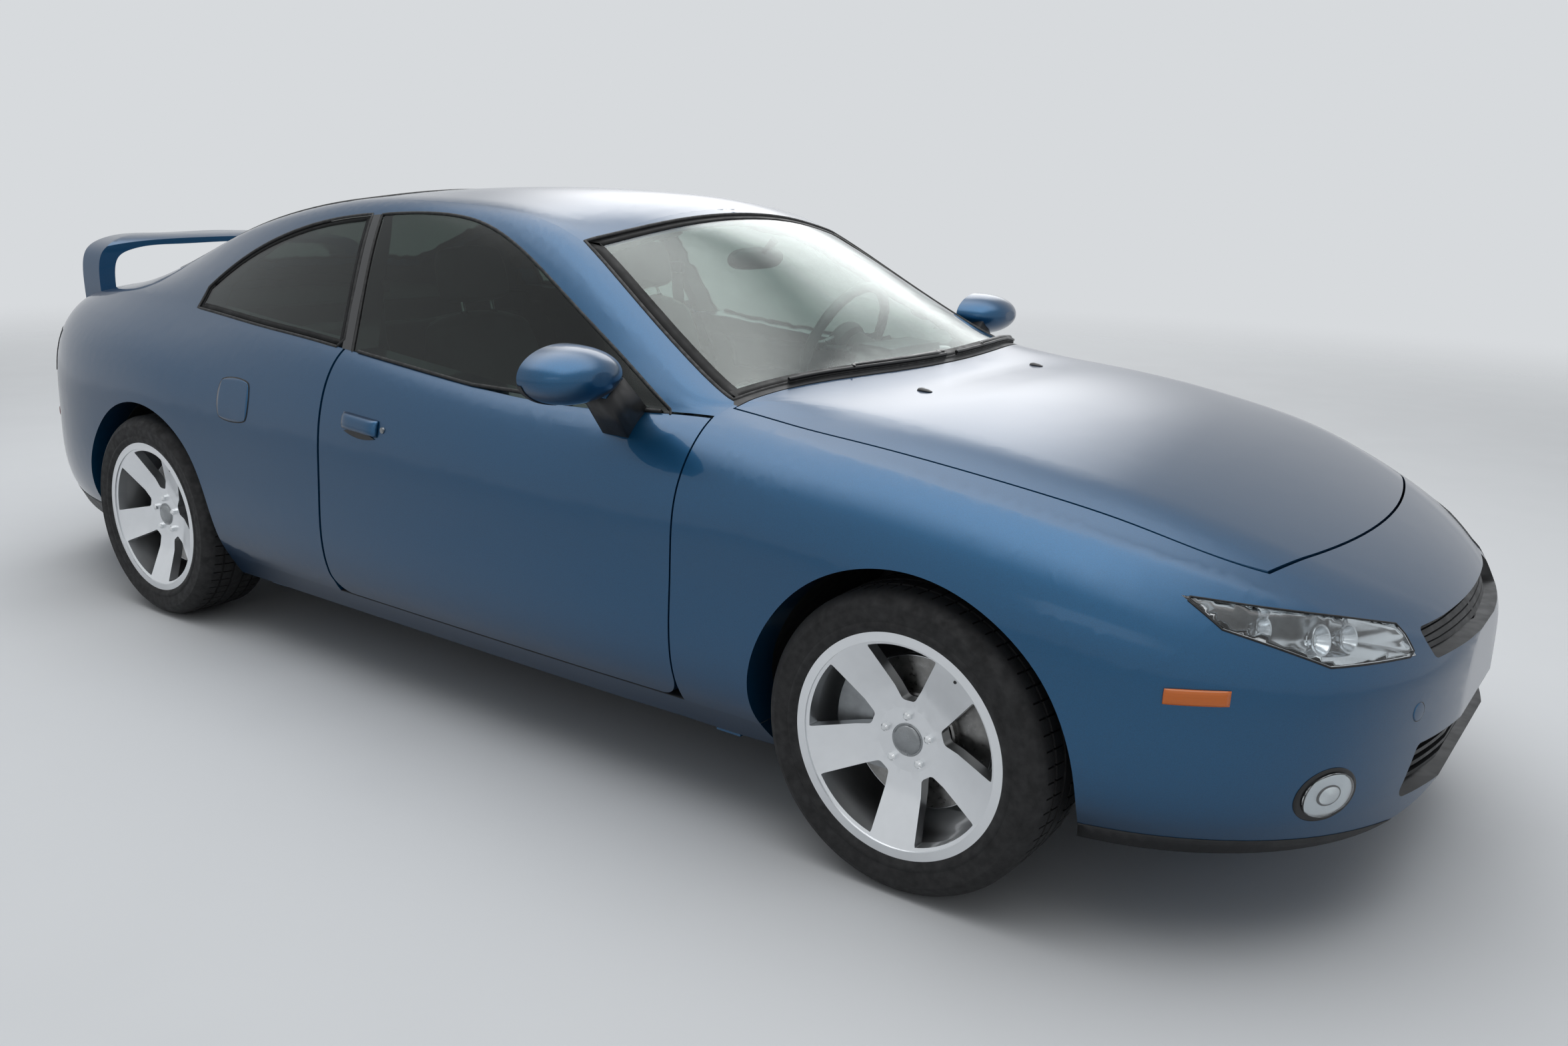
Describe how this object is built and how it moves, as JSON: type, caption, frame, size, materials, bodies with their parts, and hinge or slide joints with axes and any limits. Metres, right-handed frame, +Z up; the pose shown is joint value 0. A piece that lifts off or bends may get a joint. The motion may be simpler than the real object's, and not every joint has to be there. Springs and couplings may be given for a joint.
{
  "type": "coupe car",
  "caption": "Two-door coupe with opening doors, bonnet and boot lid, steered front wheels, a cabin with seats and a raised rear spoiler.",
  "frame": {"origin": "on the ground, midway along the car and on its centre plane", "axes": "+X to the front, +Y to the car's left, +Z up"},
  "size_m": [4.814, 2.175, 1.3807],
  "materials": {
    "body_paint": "metallic blue clear coat",
    "black_trim": "matt black",
    "screen_glass": "tinted",
    "lamp_lens": "clear lens",
    "red_lens": "red lens",
    "alloy": "bright silver",
    "tyre_rubber": "matt",
    "steel": "plain",
    "iron": "as cast",
    "seat_cloth": "grey leather",
    "inside_trim": "grained dark grey"
  },
  "bodies": {
    "body": {"fender_left": "body_paint", "fender_right": "body_paint", "front_bumper": "body_paint", "rear_bumper": "body_paint", "quarter_left": "body_paint", "quarter_right": "body_paint", "roof_panel": "body_paint", "roof_rails": "body_paint", "sills": "body_paint", "floor_pan": "body_paint", "firewall": "body_paint", "rear_bulkhead": "body_paint", "cowl_panel": "black_trim", "b_pillars": "black_trim", "arch_liners": "black_trim", "grille": "black_trim", "wipers": "black_trim", "windscreen": "screen_glass", "backlight": "screen_glass", "quarter_glass": "screen_glass", "headlamps": "lamp_lens", "tail_lamps": "red_lens", "exhaust": "steel", "tow_socket": "steel", "engine_block": "iron", "front_subframe": "iron", "rear_subframe": "iron", "front_seats": "seat_cloth", "rear_seat": "seat_cloth", "dashboard": "inside_trim", "steering_wheel": "inside_trim"},
    "door_left": {"door_left": "body_paint", "door_glass_left": "screen_glass", "mirror_left": "body_paint"},
    "door_right": {"door_right": "body_paint", "door_glass_right": "screen_glass", "mirror_right": "body_paint"},
    "hood": {"hood": "body_paint"},
    "deck_lid": {"deck_lid": "body_paint", "spoiler": "body_paint"},
    "knuckle_fl": {"knuckle_fl": "iron"},
    "knuckle_fr": {"knuckle_fr": "iron"},
    "wheel_fl": {"rim_fl": "alloy", "tyre_fl": "tyre_rubber"},
    "wheel_fr": {"rim_fr": "alloy", "tyre_fr": "tyre_rubber"},
    "wheel_rl": {"rim_rl": "alloy", "tyre_rl": "tyre_rubber"},
    "wheel_rr": {"rim_rr": "alloy", "tyre_rr": "tyre_rubber"}
  },
  "joints": [
    {"name": "door_left_hinge", "type": "hinge", "parent": "body", "child": "door_left", "pos_m": [0.92, 0.911, 0.56], "axis": [0, 0, -1], "range_deg": [0, 65]},
    {"name": "door_right_hinge", "type": "hinge", "parent": "body", "child": "door_right", "pos_m": [0.92, -0.911, 0.56], "axis": [0, 0, 1], "range_deg": [0, 65]},
    {"name": "hood_hinge", "type": "hinge", "parent": "body", "child": "hood", "pos_m": [0.935, 0, 0.96], "axis": [0, -1, 0], "range_deg": [0, 55]},
    {"name": "deck_lid_hinge", "type": "hinge", "parent": "body", "child": "deck_lid", "pos_m": [-1.885, 0, 1.06], "axis": [0, 1, 0], "range_deg": [0, 70]},
    {"name": "steer_left", "type": "hinge", "parent": "body", "child": "knuckle_fl", "pos_m": [1.505, 0.74, 0.326], "axis": [0, 0, 1], "range_deg": [-35, 35]},
    {"name": "steer_right", "type": "hinge", "parent": "body", "child": "knuckle_fr", "pos_m": [1.505, -0.74, 0.326], "axis": [0, 0, 1], "range_deg": [-35, 35]},
    {"name": "wheel_fl_spin", "type": "hinge", "parent": "knuckle_fl", "child": "wheel_fl", "pos_m": [1.505, 0.78, 0.326], "axis": [0, 1, 0], "continuous": true},
    {"name": "wheel_fr_spin", "type": "hinge", "parent": "knuckle_fr", "child": "wheel_fr", "pos_m": [1.505, -0.78, 0.326], "axis": [0, 1, 0], "continuous": true},
    {"name": "wheel_rl_spin", "type": "hinge", "parent": "body", "child": "wheel_rl", "pos_m": [-1.283, 0.78, 0.326], "axis": [0, 1, 0], "continuous": true},
    {"name": "wheel_rr_spin", "type": "hinge", "parent": "body", "child": "wheel_rr", "pos_m": [-1.283, -0.78, 0.326], "axis": [0, 1, 0], "continuous": true}
  ],
  "couplings": [
    {"joint": "steer_right", "follows": "steer_left", "ratio": 1}
  ]
}
